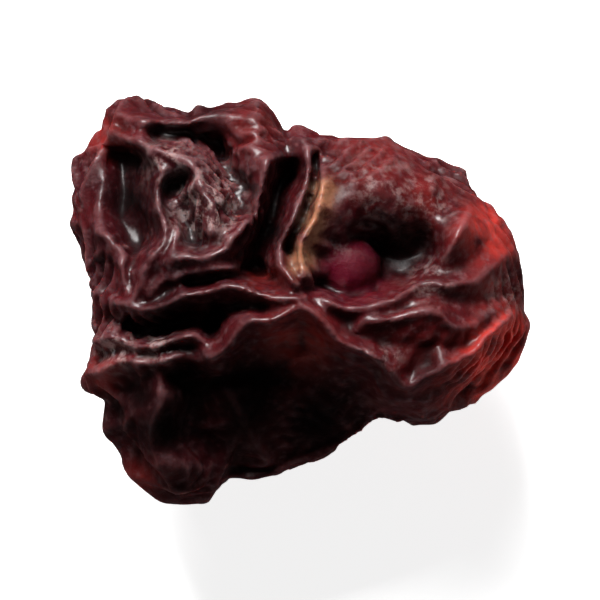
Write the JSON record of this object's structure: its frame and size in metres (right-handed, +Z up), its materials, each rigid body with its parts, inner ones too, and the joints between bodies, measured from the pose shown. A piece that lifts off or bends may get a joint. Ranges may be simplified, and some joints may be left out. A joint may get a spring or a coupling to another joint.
{
  "type": "dried schisandra berry",
  "caption": "Shrivelled dried berry with deep folds, hollows and a round seed pressing through its skin; lies on a small flat spot.",
  "frame": {"origin": "centre of the bounding box's base, on the surface that the berry lies on", "axes": "+Z up from the resting spot, +X along the berry's long side, +Y towards the side with the bowl-shaped hollow"},
  "size_m": [0.008, 0.007, 0.0056],
  "materials": {
    "dried_skin": "wrinkled, semi-gloss, dark wine red"
  },
  "bodies": {
    "root": {"berry": "dried_skin"}
  },
  "joints": []
}
